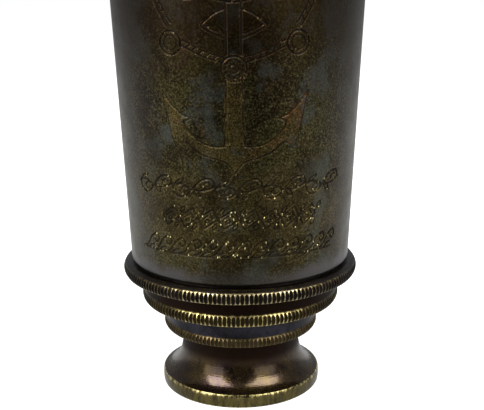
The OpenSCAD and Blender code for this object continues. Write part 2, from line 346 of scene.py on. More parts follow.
def scroll_row(z, half_width, unit, height):
    """Running scrolls: a waving stem with a curl and a leaf in every bay."""
    count = int(2 * half_width / unit)
    start = -count * unit / 2
    stem = [(start + k * unit / 2, z + 0.3 * height * math.sin(math.pi * (k / 2 + 0.25)))
            for k in range(2 * count + 1)]
    strokes = [(curve(stem), 0.5, 0.95)]
    for k in range(count):
        u = start + k * unit
        up = 1 if k % 2 else -1
        sweep = [(0, 0), (0.25, 0.75), (0.62, 0.95), (0.9, 0.45), (0.78, 0.0), (0.52, -0.05)]
        curl = [(0.5, 0.05), (0.42, 0.38), (0.6, 0.6), (0.72, 0.35)]
        leaf = [(0.0, 0.0), (0.18, -0.6), (0.45, -0.8), (0.3, -0.3), (0.02, 0.0)]
        for line, width in ((sweep, 0.56), (curl, 0.44), (leaf, 0.44)):
            points = [(u + a * unit, z + up * b * height) for a, b in line]
            strokes.append((curve(points), width, 0.95))
    return strokes


def lozenge_row(z, half_width, unit, height):
    """Linked lozenges with a bead in each and a small leaf above and below each link."""
    strokes = []
    count = int(2 * half_width / unit)
    start = -count * unit / 2
    for k in range(count):
        u = start + (k + 0.5) * unit
        a, b = 0.5 * unit, height
        diamond = [(u - a, z), (u, z + b), (u + a, z), (u, z - b), (u - a, z)]
        strokes.append((diamond, 0.62, 1.0))
        strokes.append(([(u - a / 2, z), (u, z + b / 2), (u + a / 2, z)], 0.46, 0.9))
        strokes.append((circle(u, z - 0.5, 0.4), 0.46, 0.9))
        for end in (-1, 1):
            leaf = [(u + a, z + end * 0.4 * b), (u + 0.8 * a, z + end * 0.8 * b)]
            leaf += [(u + a, z + end * 1.15 * b), (u + 1.2 * a, z + end * 0.8 * b), leaf[0]]
            strokes.append((curve(leaf), 0.46, 0.9))
    return strokes


def wave_row(z, half_width, unit, height):
    """A running wave: crests that curl over, all on one line."""
    count = int(2 * half_width / unit)
    start = -count * unit / 2
    foot = z - 0.9 * height
    strokes = [([(start, foot), (start + count * unit, foot)], 0.4, 0.8)]
    for k in range(count):
        u = start + k * unit
        wave = [(-0.2, -0.9), (0.2, -0.5), (0.45, 0.45), (0.85, 0.9), (1.12, 0.35)]
        wave += [(0.92, -0.05), (0.72, 0.3)]
        under = [(0.3, -0.9), (0.55, -0.45), (0.8, -0.4)]
        for line, width in ((wave, 0.58), (under, 0.46)):
            points = [(u + a * unit, z + b * height) for a, b in line]
            strokes.append((curve(points), width, 0.95))
    return strokes


def leaning(strokes, z, slope):
    """The strokes leaned over to the right about the height z."""
    return [([(u + slope * (v - z), v) for u, v in points], width, depth)
            for points, width, depth in strokes]


def engraving():
    strokes = wheel() + wreath() + anchor()
    for row, z, half_width, unit, height, slope in (
        (scroll_row, 54.0, 25.5, 5.1, 2.3, 0.35),
        (lozenge_row, 47.3, 18.6, 4.6, 2.2, 0.5),
        (wave_row, 40.6, 24.8, 3.8, 2.1, 0.3),
    ):
        strokes += leaning(row(z, half_width, unit, height), z, slope)
    return strokes


def within(outline, a, z):
    """Whether each place (a, z) lies inside a closed outline."""
    inside = np.zeros(a.shape, bool)
    for (a0, z0), (a1, z1) in zip(outline, outline[1:] + outline[:1]):
        if z0 != z1:
            crosses = (z0 > z) != (z1 > z)
            inside ^= crosses & (a < a0 + (a1 - a0) * (z - z0) / (z1 - z0))
    return inside


def stippled(u, z):
    """1 where stippling fills the anchor's shank and arms, and less on the ground that
    the engraver's tool roughened round the ornament rows."""
    side = np.abs(u - BOSS[0])
    shank = (z > 62.8) & (z < 77.2) & (side < 1.6 + (77 - z) * 0.035)
    arm = KEEL + FLUKE[1:] + BARB[1:] + DECK[1:] + [(0.0, DECK[-1][1])]
    filled = shank | within(arm, side, z)
    middle_z, half_height = 47.0, 13
    rows = np.clip(1 - np.abs(z - middle_z) / half_height, 0, 1)
    rows *= np.clip(1.6 - np.abs(u) / 22, 0, 1)
    return np.where(filled, 1.0, 0.42 * np.minimum(1, 2 * rows))


# ---------------------------------------------------------------- the engraved barrel
ENGRAVE_R = 27.5 * MM  # one millimetre of u is this radius's arc
ENGRAVE_DEPTH = 0.2 * MM
ENGRAVED_SIDE = 32  # the engraving reaches this far from the front line, in u
ENGRAVED_FOOT, ENGRAVED_TOP = 37, 127  # and lies between these heights
AWAY = (99.0, 0.0)  # a place (u, z) that is clear of the engraving and its stippling


def engraved_area(u, z, margin=0):
    """Whether a place is in the part of the barrel that the engraving takes up."""
    return (abs(u) <= ENGRAVED_SIDE + margin
            and ENGRAVED_FOOT - margin < z < ENGRAVED_TOP + margin)


class Strokes:
    """How deep the engraving is at any place on the unrolled barrel."""

    STEP = 0.06  # spacing of the places that stand for a stroke, in millimetres

    def __init__(self, strokes):
        places, widths, depths = [], [], []
        for points, width, depth in strokes:
            for (ua, za), (ub, zb) in zip(points, points[1:]):
                count = max(1, int(math.hypot(ub - ua, zb - za) / self.STEP))
                for k in range(count):
                    t = k / count
                    places.append((ua + (ub - ua) * t, za + (zb - za) * t))
                    widths.append(width)
                    depths.append(depth)
        self.widths, self.depths = widths, depths
        self.tree = kdtree.KDTree(len(places))
        for i, (u, z) in enumerate(places):
            self.tree.insert((u, z, 0.0), i)
        self.tree.balance()

    def reach(self, u, z):
        """(distance to the nearest stroke's middle, its half width, its depth)."""
        _, i, gap = self.tree.find((u, z, 0.0))
        return gap, self.widths[i] / 2, self.depths[i]

    def cut(self, u, z):
        """Depth from 0 to 1 of a round-bottomed cut with a small raised burr beside it."""
        gap, half, depth = self.reach(u, z)
        t = gap / half
        if t < 1:
            return depth * (1 - t * t) ** 0.7
        return -0.16 * depth * max(0.0, 1 - (t - 1) / 0.5)


def refined_cells(columns, rows, levels, near):
    """Leaf cells (level, i, j) of a quadtree over a grid that wraps round: split where
    near(level, i, j) says so, and until no neighbours are two levels apart."""
    leaves = set()
    work = [(0, i, j) for i in range(columns) for j in range(rows)]

    def split(cell):
        level, i, j = cell
        return [(level + 1, 2 * i + p, 2 * j + q) for p in (0, 1) for q in (0, 1)]

    while work:
        cell = work.pop()
        if cell[0] < levels and near(*cell):
            work += split(cell)
        else:
            leaves.add(cell)
    queue = sorted(leaves)
    while queue:
        cell = queue.pop()
        if cell not in leaves:
            continue
        level, i, j = cell
        for di, dj in ((1, 0), (-1, 0), (0, 1), (0, -1)):
            a, b, up = (i + di) % (columns << level), j + dj, level
            while up >= 0 and (up, a, b) not in leaves:
                up, a, b = up - 1, a // 2, b // 2
            if 0 <= up < level - 1:
                leaves.remove((up, a, b))
                children = split((up, a, b))
                leaves.update(children)
                queue += children + [cell]
    return sorted(leaves)


class BarrelMesh:
    """The barrel's points and faces, as they are put together. A place on its outside is
    (i, j) on the finest grid: i runs round from the back and j up from the rolled foot."""

    COLUMNS, ROWS, LEVELS = 128, 86, 3
    FINE = 1 << LEVELS
    ROLL, WALL = 0.8 * MM, 0.9 * MM
    CORNERS = [(0, 0), (1, 0), (1, 1), (0, 1)]

    def __init__(self):
        self.foot, self.top = low("barrel_tube"), high("barrel_tube")
        self.start = self.foot + self.ROLL
        self.tail_r = outer_at("barrel_tube", self.start)
        self.mouth_r = outer_at("barrel_tube", self.top)
        self.step_z = (self.top - self.start) / self.ROWS
        self.strokes = Strokes(engraving())
        self.numbers = {}
        self.points, self.faces = [], []
        self.cut, self.flat = [], []

    def place(self, i, j):
        """The angle from the front and the height of a place."""
        angle = 2 * math.pi * i / (self.COLUMNS * self.FINE) - math.pi
        return angle, self.start + self.step_z * j / self.FINE

    def unrolled(self, i, j):
        angle, z = self.place(i, j)
        return angle * ENGRAVE_R / MM, z / MM

    def near(self, level, i, j):
        """Whether a cell is so close to a stroke that it has to be split."""
        size = self.FINE >> level
        u, z = self.unrolled((i + 0.5) * size, (j + 0.5) * size)
        if not engraved_area(u, z):
            return False
        gap, half, _ = self.strokes.reach(u, z)
        return gap < half * 1.5 + 0.75 * (self.step_z / MM) * size / self.FINE + 0.05

    def add_point(self, r, angle, z, cut, flat):
        self.points.append((r * math.sin(angle), -r * math.cos(angle), z))
        self.cut.append(cut)
        self.flat.append(flat)
        return len(self.points) - 1

    def point(self, i, j):
        """The number of the point at a place, which is made when it is first asked for."""
        key = (i % (self.COLUMNS * self.FINE), j)
        if key not in self.numbers:
            angle, z = self.place(*key)
            flat = self.unrolled(*key)
            cut = self.strokes.cut(*flat) if engraved_area(*flat, margin=1) else 0.0
            r = self.tail_r
            r += (self.mouth_r - self.tail_r) * (z - self.start) / (self.top - self.start)
            r -= ENGRAVE_DEPTH * cut
            self.numbers[key] = self.add_point(r, angle, z, cut, flat)
        return self.numbers[key]

    def add_outside(self):
        """The refined skin. A cell beside smaller ones takes their points on its edges."""
        cells = refined_cells(self.COLUMNS, self.ROWS, self.LEVELS, self.near)
        for level, i, j in cells:
            size = self.FINE >> level
            for a, b in self.CORNERS:
                self.point((i + a) * size, (j + b) * size)
        wide = self.COLUMNS * self.FINE
        for level, i, j in cells:
            size = self.FINE >> level
            face = []
            for (a, b), (c, d) in zip(self.CORNERS, self.CORNERS[1:] + self.CORNERS[:1]):
                face.append(self.point((i + a) * size, (j + b) * size))
                middle = (((2 * i + a + c) * size // 2) % wide, (2 * j + b + d) * size // 2)
                if size > 1 and middle in self.numbers:
                    face.append(self.numbers[middle])
            self.faces.append(face)

    def add_inside(self):
        """The rolled foot, the wall inside and the mouth, joined to the skin's two rims."""
        roll, start = self.ROLL, self.start
        bore_foot = self.tail_r - self.WALL
        taper, height = self.mouth_r - self.tail_r, self.top - start
        loop = [(self.tail_r - roll + roll * math.cos(t), start - roll * math.sin(t))
                for t in np.linspace(0, math.pi / 2, 8)[1:]]
        loop.append((bore_foot, self.foot + 0.3 * MM))
        loop += [(bore_foot + taper * t, start + height * t)
                 for t in np.linspace(0.1, 1.0, 5)[:-1]]
        loop.append((self.mouth_r - self.WALL, self.top))
        places = [i * self.FINE for i in range(self.COLUMNS)]
        previous = [self.point(i, 0) for i in places]
        for r, z in loop:
            ring = [self.add_point(r, self.place(i, 0)[0], z, 0.0, AWAY) for i in places]
            self.join(previous, ring)
            previous = ring
        self.join(previous, [self.point(i, self.ROWS * self.FINE) for i in places])

    def join(self, ring, following):
        """The faces between two rings of points."""
        for i in range(self.COLUMNS):
            k = (i + 1) % self.COLUMNS
            self.faces.append((ring[i], ring[k], following[k], following[i]))


def barrel_piece():
    """The tapered tube: a refined mesh outside, cut by the engraving, and a plain wall
    inside. Its tail is rolled to a round edge and its mouth is square."""
    barrel = BarrelMesh()
    barrel.add_outside()
    barrel.add_inside()
    stipple = stippled(*np.array(barrel.flat).T)
    return add_object(
        "barrel", barrel.points, barrel.faces, 40, cut=barrel.cut, stipple=stipple)


# ---------------------------------------------------------------- turned pieces
def draw_ring_piece(name, ring, tube, next_tube, height, knurl, lean):
    """A draw's ring: knurled foot, smooth shoulder that leans in, slot for the tube's
    end, and inside the slot the spigot that carries the next draw's sleeve."""
    outer, z, spigot = radius(ring), low(ring), high(ring)
    tube_r, tube_z = radius(tube), low(tube)
    shoulder = outer - 0.55 * MM
    bore = radius(next_tube) + RUN
    seat = bore + SLEEVE_WALL
    tube_bore = tube_r - DRAW_WALL
    top = z + height
    rows = rounded([
        (bore, z, 0.15 * MM),
        (outer - KNURL_INSET, z, 0),
        *band(outer, z + 0.05 * MM, knurl - 0.2 * MM),
        (shoulder - 0.15 * lean, z + knurl + 0.3 * MM, 0),
        (shoulder - 0.45 * lean, z + 0.5 * (knurl + height), 0),
        (shoulder - lean, top, 0.4 * MM),
        (tube_r, top, 0.12 * MM),
        (tube_r, tube_z, 0),
        (tube_bore, tube_z, 0),
        (tube_bore, spigot, 0.15 * MM),
        (seat, spigot, 0.15 * MM),
        (seat, z + LIP, 0),
        (bore, z + LIP, 0),
    ], steps=3)
    return knurled(name, rows, z, z + knurl, outer)


def tail_ring_piece():
    """The knurled ring at the barrel's tail, with a spigot up inside the barrel."""
    node = "barrel_tail_ring"
    outer, z = radius(node), low(node)
    knurl = 2.9 * MM
    flange, top = low("barrel_tube"), high(node)
    seat = outer_at("barrel_tube", flange) - 0.3 * MM
    bore = radius("first_draw_tube") + RUN
    sleeve = bore + SLEEVE_WALL
    spigot = sleeve + 1.1 * MM
    rows = rounded([
        (bore, z, 0.15 * MM),
        (outer - KNURL_INSET, z, 0),
        *band(outer, z + 0.05 * MM, knurl - 0.5 * MM),
        (outer - 1.0 * MM, z + knurl - 0.22 * MM, 0),
        (outer - 1.8 * MM, z + knurl, 0.2 * MM),
        (seat, z + knurl, 0.1 * MM),
        (seat, flange, 0),
        (spigot, flange, 0),
        (spigot, top, 0.2 * MM),
        (sleeve, top, 0.2 * MM),
        (sleeve, z + LIP, 0),
        (bore, z + LIP, 0),
    ], steps=3)
    return knurled("tail_ring", rows, z, z + knurl, outer)


def objective_ring_piece():
    """The ring on the barrel's mouth: knurled band, plain hood, and inside them the seats
    of the two lenses and of the ring that keeps them in."""
    node = "objective_ring"
    outer, foot, top = radius(node), low(node), high(node)
    z, knurl = high("barrel_tube"), 3.4 * MM
    hood = outer - 1.6 * MM
    mouth = hood - 1.8 * MM
    lens = radius("objective_crown_lens") + 0.05 * MM
    clear = lens - 1.55 * MM
    spigot = lens + 1.15 * MM
    keeper = radius("objective_retaining_ring")
    seat = low("objective_flint_lens")
    keeper_seat = low("objective_retaining_ring") - 0.2 * MM
    step = high("objective_retaining_ring") + 0.6 * MM
    rows = rounded([
        (clear, foot, 0.2 * MM),
        (spigot, foot, 0.3 * MM),
        (spigot, z, 0),
        (outer - KNURL_INSET, z, 0),
        *band(outer, z + 0.05 * MM, knurl - 0.1 * MM, steps=10),
        (outer - KNURL_INSET, z + knurl, 0),
        (hood, z + knurl, 0.1 * MM),
        (hood, top, 0.6 * MM),
        (mouth, top, 0.3 * MM),
        (mouth, step, 0.1 * MM),
        (keeper, step, 0.1 * MM),
        (keeper, keeper_seat, 0),
        (lens, keeper_seat, 0),
        (lens, seat, 0),
        (clear, seat, 0.2 * MM),
    ], steps=2)
    return knurled("objective_mount", rows, z, z + knurl, outer)


def eyepiece_cup_piece():
    """The flared cup: a flat foot, a dished face, a rim band and the bell up to the neck."""
    node = "eyepiece_cup"
    rim, top = radius(node), high(node)
    neck = outer_at(node, top - 1.0 * MM)
    rim_top, bell_top = 3.3 * MM, 10.9 * MM
    draw_r, draw_z = radius("eyepiece_draw_tube"), low("eyepiece_draw_tube")
    cell_r, cell_z = radius("eyepiece_cell_tube"), low("eyepiece_cell_tube")
    hole, dish = 4.0 * MM, 3.4 * MM
    bell_r = rim - 0.2 * MM
    power, steps, ripple = 1.9, 56, 0.012 * MM
    bell = []
    for k in range(4, steps + 1):
        a = math.pi / 2 * k / steps
        r = bell_r - (bell_r - neck) * math.sin(a) ** (2 / power)
        z = bell_top - (bell_top - rim_top) * math.cos(a) ** (2 / power)
        turning = ripple * math.sin(k * 2.1) * math.sin(math.pi * k / steps)
        bell.append((r + turning, z, 0))
    rows = rounded([
        (hole, cell_z, 0),
        (hole, dish, 0.3 * MM),
        (rim - 1.6 * MM, 0, 0.2 * MM),
        (rim - 0.12 * MM, 0, 0.5 * MM),
        (rim, 1.2 * MM, 0, 0.3),
        (rim, 1.9 * MM, 0, 0.45),
        (rim - 0.02 * MM, 2.5 * MM, 0, 0.6),
        (rim - 0.08 * MM, rim_top - 0.35 * MM, 0, 0.85),
        (rim - 0.25 * MM, rim_top - 0.08 * MM, 0, 1.0),
        *bell,
        (neck, top, 0.4 * MM),
        (draw_r, top, 0.15 * MM),
        (draw_r, draw_z, 0),
        (cell_r, draw_z, 0),
        (cell_r, cell_z, 0),
    ], steps=6)
    return lathe("eyepiece_bell", rows, segments=288)


def tube_piece(name, node):
    """A drawn tube with its two ends just broken."""
    r, foot, top = radius(node), low(node), high(node)
    bore = r - DRAW_WALL
    bands = 12
    heights = [foot + (top - foot) / bands * k for k in range(1, bands)]
    rows = rounded([
        (bore, foot, 0.15 * MM),
        (r, foot, 0.2 * MM),
        *[(r, z, 0) for z in heights],
        (r, top, 0.2 * MM),
        (bore, top, 0.15 * MM),
        *[(bore, z, 0) for z in reversed(heights)],
    ], steps=3)
    return lathe(name, rows, segments=160)


# ---------------------------------------------------------------- materials
class Paint:
    """A node material, or the world, being put together: short helpers over its nodes."""

    def __init__(self, name, make=bpy.data.materials.new, shader="Principled BSDF",
                 places="Object"):
        self.block = make(name)
        self.block.use_nodes = True
        self.tree = self.block.node_tree
        self.shader = self.tree.nodes[shader]
        self.places = self.node("TexCoord").outputs[places]

    def link(self, value, socket):
        if hasattr(value, "is_output"):
            self.tree.links.new(value, socket)
        else:
            socket.default_value = value

    def node(self, kind, **inputs):
        """A new node with some of its inputs given, by name."""
        node = self.tree.nodes.new("ShaderNode" + kind)
        for name, value in inputs.items():
            self.link(value, node.inputs[name])
        return node

    def set(self, **values):
        """Gives the shader's inputs, by name in lower case."""
        for key, value in values.items():
            name = key.replace("_", " ").title().replace("Ior", "IOR")
            self.link(value, self.shader.inputs[name])

    def math(self, operation, *values):
        node = self.node("Math")
        node.operation = operation
        for socket, value in zip(node.inputs, values):
            self.link(value, socket)
        return node.outputs[0]

    def times(self, a, b):
        return self.math("MULTIPLY", a, b)

    def length(self, x, y):
        return self.math("SQRT", self.math("ADD", self.times(x, x), self.times(y, y)))

    def shifted(self, value, noise, reach):
        """value moved up or down by the noise, by half of reach at the most."""
        return self.math("ADD", value, self.times(self.math("SUBTRACT", noise, 0.5), reach))

    def ramp(self, value, low, high, to_low=0.0, to_high=1.0):
        """value taken from low..high to to_low..to_high, smoothly and held at the ends."""
        node = self.node("MapRange")
        node.interpolation_type = "SMOOTHSTEP"
        for socket, number in zip(node.inputs, (value, low, high, to_low, to_high)):
            self.link(number, socket)
        return node.outputs[0]

    def mix(self, share, a, b):
        """Colour a, with share of colour b over it."""
        node = self.node("Mix")
        node.data_type = "RGBA"
        self.link(share, node.inputs["Factor"])
        self.link(a, node.inputs[6])
        self.link(b, node.inputs[7])
        return node.outputs[2]

    def blend(self, share, a, b):
        """The number a, taken to b as share goes from 0 to 1."""
        node = self.node("Mix", Factor=share)
        self.link(a, node.inputs[2])
        self.link(b, node.inputs[3])
        return node.outputs[0]

    def noise(self, size, detail, rough, places=None, warp=0.0):
        """Noise whose lumps are about size metres across."""
        node = self.node("TexNoise", Vector=places or self.places, Scale=1 / size,
                         Detail=detail, Roughness=rough, Distortion=warp)
        return node.outputs["Fac"]

    def cells(self, size, output, places):
        """Cells about size metres across: their Distance from the middle, or a Color."""
        return self.node("TexVoronoi", Vector=places, Scale=1 / size).outputs[output]

    def attribute(self, name):
        node = self.node("Attribute")
        node.attribute_name = name
        return node.outputs["Fac"]

    def axes(self):
        return self.node("SeparateXYZ", Vector=self.places).outputs

    def stretched(self, x, y, z):
        return self.node("Mapping", Vector=self.places, Scale=(x, y, z)).outputs[0]

    def around(self):
        """A place that is the same all the way round the axis: (radius, 0, z)."""
        x, y, z = self.axes()
        return self.node("CombineXYZ", X=self.length(x, y), Z=z).outputs[0]

    def bump(self, height, distance, **under):
        """Bumps of a height, over those of the Normal if one is given."""
        return self.node("Bump", Height=height, Distance=distance, **under).outputs[0]

    def seen(self):
        """1 where the camera looks straight at it, and 0 for all other light."""
        return self.node("LightPath").outputs["Is Camera Ray"]


def rgb(red, green, blue):
    return (red, green, blue, 1.0)


DARK = rgb(0.011, 0.0072, 0.0020)
OLIVE = rgb(0.031, 0.0275, 0.0068)
BROWN = rgb(0.037, 0.021, 0.012)
SLATE = rgb(0.048, 0.052, 0.045)
MOSS = rgb(0.062, 0.052, 0.018)
# Painted sheen colour for the barrel's left and right sides.
SIDE_SHEEN_GREY = rgb(0.043, 0.036, 0.042)
STRAW = rgb(0.125, 0.107, 0.048)
SOOT = rgb(0.004, 0.003, 0.0012)
UMBER = rgb(0.014, 0.0066, 0.0014)
PEWTER = rgb(0.080, 0.075, 0.076)
NEAR_BLACK = rgb(0.006, 0.0045, 0.003)
OLD_BRASS = rgb(0.21, 0.145, 0.042)
COPPER = rgb(0.13, 0.052, 0.014)
BRIGHT_COPPER = rgb(0.26, 0.12, 0.038)
# Painted glint colour for clean brass flecks in the engraving.
PAINTED_GLINT_BRASS = rgb(0.95, 0.82, 0.36)
BRASS = rgb(0.60, 0.50, 0.26)
FOOT_STREAK = rgb(0.028, 0.020, 0.007)
# Painted shade: the near-black brown of the band under an overhanging ring.
PAINTED_SHADE_BROWN = rgb(0.012, 0.0058, 0.0035)
HALO = rgb(0.12, 0.085, 0.028)


def barrel_patina(p, patch, grit):
    """The barrel's blotched brown, olive and grey skin: lighter and more olive low down,
    greyer on its sides as painted sheen, browner towards the mouth and pale along its
    foot, more so on its sides as painted sheen."""
    x, _, z = p.axes()
    from_front = p.math("ABSOLUTE", x)
    broad = p.noise(14 * MM, 4, 0.6, warp=0.6)
    cloud = p.noise(8 * MM, 5, 0.65, places=p.stretched(1, 1, 0.7))
    tone = p.mix(p.ramp(broad, 0.40, 0.60), DARK, OLIVE)
    tone = p.mix(p.ramp(patch, 0.52, 0.68, 0.0, 0.8), tone, BROWN)
    tone = p.mix(p.ramp(cloud, 0.50, 0.64, 0.0, 0.8), tone, SLATE)
    tone = p.mix(p.ramp(z, 44 * MM, 78 * MM, 0.4, 0.0), tone, MOSS)
    # Painted sheen: greyer left and right of the front line, as a grazing reflection of a
    # pale room.
    tone = p.mix(p.ramp(from_front, 14 * MM, 25 * MM, 0.0, 0.45), tone, SIDE_SHEEN_GREY)
    light = p.times(p.ramp(grit, 0.50, 0.68), p.ramp(z, 60 * MM, 95 * MM, 0.95, 0.75))
    tone = p.mix(light, tone, STRAW)
    tone = p.mix(p.ramp(grit, 0.32, 0.54, 0.95, 0.0), tone, SOOT)
    tone = p.mix(p.ramp(cloud, 0.52, 0.62, 0.0, 0.5), tone, SLATE)
    tone = p.mix(p.ramp(broad, 0.36, 0.48, 0.5, 0.0), tone, DARK)
    upper = p.shifted(z, broad, 30 * MM)
    tone = p.mix(p.ramp(upper, 68 * MM, 92 * MM, 0.0, 0.7), tone, UMBER)
    foot, rise = low("barrel_tube"), p.shifted(z, patch, 5 * MM)
    hem = p.ramp(rise, foot + 1.5 * MM, foot + 4.5 * MM, 1.0, 0.0)
    # Painted sheen: the pale hem is made stronger left and right of the front line.
    beside = p.ramp(from_front, 5 * MM, 15 * MM, 0.3, 0.9)
    return p.mix(p.times(hem, beside), tone, PEWTER)


def barrel_metal():
    """The engraved cuts are darker. The stippled ground and the burrs keep some worn
    copper and brass, and here and there a fleck of clean brass in a cut is painted
    bright as a glint."""
    p = Paint("engraved_bronze")
    x, _, z = p.axes()
    patch = p.noise(4.5 * MM, 5, 0.62)
    grit = p.noise(0.46 * MM, 3, 0.85)
    speck = p.noise(0.22 * MM, 2, 0.6)
    rub = p.ramp(p.noise(3 * MM, 4, 0.6), 0.42, 0.62)
    cut, stipple = p.attribute("cut"), p.attribute("stipple")
    filled = p.ramp(cut, 0.05, 0.35)
    # The engraved cuts go towards near black with their depth.
    tone = p.mix(p.times(filled, 0.82), barrel_patina(p, patch, grit), NEAR_BLACK)
    worn = p.mix(p.ramp(x, -4 * MM, 6 * MM), OLD_BRASS, COPPER)
    worn = p.mix(p.ramp(z, 54 * MM, 62 * MM), OLD_BRASS, worn)
    grain = p.times(p.ramp(speck, 0.46, 0.62), p.blend(rub, 0.2, 0.65))
    tone = p.mix(p.times(stipple, grain), tone, worn)
    raised = p.ramp(cut, -0.12, -0.02, 1.0, 0.0)
    burr = p.times(raised, p.blend(rub, p.ramp(z, 62 * MM, 80 * MM, 0.1, 0.45), 0.8))
    tone = p.mix(burr, tone, p.mix(p.ramp(z, 70 * MM, 80 * MM), worn, BRIGHT_COPPER))
    fleck, flecks = 0.42 * MM, p.stretched(1, 1, 0.5)
    glint = p.times(p.ramp(p.cells(fleck, "Color", flecks), 0.66, 0.80),
                    p.ramp(p.cells(fleck, "Distance", flecks), 0.18, 0.42, 1.0, 0.0))
    scratched = p.math("MAXIMUM", p.ramp(cut, 0.02, 0.3), p.times(stipple, 0.1))
    places = p.times(p.blend(rub, 0.5, 1.0), p.ramp(z, 48 * MM, 60 * MM, 1.0, 0.12))
    # Painted glints: clean brass flecks in the cuts get a pale yellow colour and less metal,
    # so they show bright whatever light they face.
    painted_glint = p.times(glint, p.times(scratched, places))
    tone = p.mix(painted_glint, tone, PAINTED_GLINT_BRASS)
    p.set(base_color=tone, metallic=p.blend(painted_glint, 0.95, 0.4))
    rough = p.shifted(p.blend(p.ramp(patch, 0.3, 0.7), 0.30, 0.40), grit, 0.3)
    p.set(roughness=p.blend(painted_glint, p.blend(filled, rough, 0.62), 0.45))
    p.set(coat_weight=0.04, coat_roughness=0.15, coat_ior=1.5, specular_ior_level=0.3)
    marks = p.times(p.math("ADD", stipple, cut), speck)
    p.set(normal=p.bump(marks, 0.05 * MM, Normal=p.bump(grit, 0.03 * MM)))
    return p.block


def turned_metal(name, dark, warm, worn, shine, wear_low, shade_band=None, foot=None,
                 coat=0.05, mottle=0.35):
    """Patinated turned brass: fine turning lines, blotches, and brass where it rubs. The
    wear attribute has to pass wear_low before any brass shows. A band of two heights, if
    given, sets where painted shade comes in: above it the metal is painted near black, as
    shade under the ring over it, and made rough and bare of coat. foot is a height and
    the tone of the metal below it."""
    p = Paint(name)
    z = p.axes()[2]
    broad = p.noise(7 * MM, 4, 0.6)
    fleck = p.noise(0.4 * MM, 3, 0.7)
    patch = p.noise(1.5 * MM, 4, 0.7, places=p.stretched(1, 1, 0.6))
    streaks = p.noise(0.9 * MM, 4, 0.75, places=p.stretched(1, 1, 0.25))
    lines = p.noise(0.35 * MM, 4, 0.7, places=p.around())
    base = p.mix(p.ramp(broad, 0.35, 0.68), dark, warm)
    base = p.mix(p.times(p.ramp(lines, 0.4, 0.7), 0.3), base, warm)
    base = p.mix(p.ramp(fleck, 0.5, 0.7, 0.0, mottle), base, warm)
    base = p.mix(p.ramp(fleck, 0.3, 0.5, mottle, 0.0), base, NEAR_BLACK)
    base = p.mix(p.ramp(patch, 0.52, 0.66, 0.0, 1.4 * mottle), base, warm)
    base = p.mix(p.ramp(patch, 0.34, 0.46, 1.4 * mottle, 0.0), base, NEAR_BLACK)
    if foot:
        height, pale = foot
        streaked = p.mix(p.ramp(streaks, 0.3, 0.65), FOOT_STREAK, pale)
        base = p.mix(p.ramp(z, height - 0.2 * MM, height, 1.0, 0.0), base, streaked)
    # Painted shade: above the band's two heights the colour goes near black, as shade under
    # the ring over it.
    painted_shade = p.ramp(z, *shade_band) if shade_band else 0.0
    base = p.mix(p.times(painted_shade, 0.95), base, PAINTED_SHADE_BROWN)
    wear = p.math("ADD", p.attribute("wear"), p.ramp(streaks, 0.35, 0.65, -0.25, 0.25))
    rubbed = p.ramp(wear, wear_low, wear_low + 0.35)
    halo = p.ramp(wear, wear_low - 0.4, wear_low + 0.1, 0.0, 0.6)
    tone = p.mix(rubbed, p.mix(halo, base, HALO), worn)
    p.set(base_color=tone, metallic=p.blend(rubbed, 0.9, 1.0))
    rough = p.blend(p.ramp(fleck, 0.3, 0.75), shine, shine + 0.16)
    p.set(roughness=p.blend(painted_shade, p.blend(rubbed, rough, 0.32), 0.6))
    p.set(coat_weight=p.blend(painted_shade, coat, 0.0) if shade_band else coat)
    p.set(coat_roughness=0.14, coat_ior=1.5, specular_ior_level=0.2)
    p.set(normal=p.bump(lines, 0.0105 * MM, Normal=p.bump(fleck, 0.01 * MM)))
    return p.block


def tube_metal():
    """Drawn brass, warm and a little tarnished: fine streaks along it, darker rings."""
    p = Paint("draw_bronze")
    streak = p.noise(0.4 * MM, 4, 0.6, places=p.stretched(1, 1, 0.02))
    broad = p.noise(11 * MM, 4, 0.6)
    rings = p.noise(1.6 * MM, 4, 0.7, places=p.around())
    fleck = p.noise(0.35 * MM, 3, 0.7)
    base = p.mix(p.ramp(broad, 0.35, 0.65), rgb(0.17, 0.112, 0.046), rgb(0.27, 0.19, 0.083))
    base = p.mix(p.ramp(streak, 0.45, 0.70, 0.0, 0.35), base, rgb(0.40, 0.29, 0.13))
    base = p.mix(p.ramp(rings, 0.60, 0.74, 0.0, 0.3), base, rgb(0.05, 0.03, 0.014))
    p.set(base_color=p.mix(p.attribute("wear"), base, BRASS), metallic=1.0)
    p.set(roughness=p.blend(p.ramp(streak, 0.35, 0.7), 0.27, 0.19))
    p.set(normal=p.bump(streak, 0.012 * MM, Normal=p.bump(fleck, 0.008 * MM)))
    return p.block


def bare_brass():
    p = Paint("turned_brass")
    lines = p.noise(0.3 * MM, 4, 0.7, places=p.around())
    broad = p.noise(5 * MM, 4, 0.6)
    base = p.mix(p.ramp(broad, 0.3, 0.7), rgb(0.34, 0.235, 0.095), rgb(0.50, 0.37, 0.165))
    base = p.mix(p.ramp(lines, 0.55, 0.8, 0.0, 0.5), base, rgb(0.24, 0.155, 0.06))
    p.set(base_color=base, metallic=1.0)
    p.set(roughness=p.blend(p.ramp(lines, 0.3, 0.7), 0.28, 0.42))
    p.set(normal=p.bump(lines, 0.01 * MM))
    return p.block


def blacked_metal():
    p = Paint("blacked_brass")
    grain = p.noise(0.3 * MM, 4, 0.7)
    lines = p.noise(0.4 * MM, 3, 0.7, places=p.around())
    base = p.mix(p.ramp(grain, 0.4, 0.7), rgb(0.008, 0.0075, 0.007), rgb(0.022, 0.019, 0.016))
    p.set(base_color=base, metallic=0.3)
    p.set(roughness=p.blend(p.ramp(lines, 0.3, 0.7), 0.5, 0.68))
    p.set(normal=p.bump(lines, 0.01 * MM, Normal=p.bump(grain, 0.008 * MM)))
    return p.block


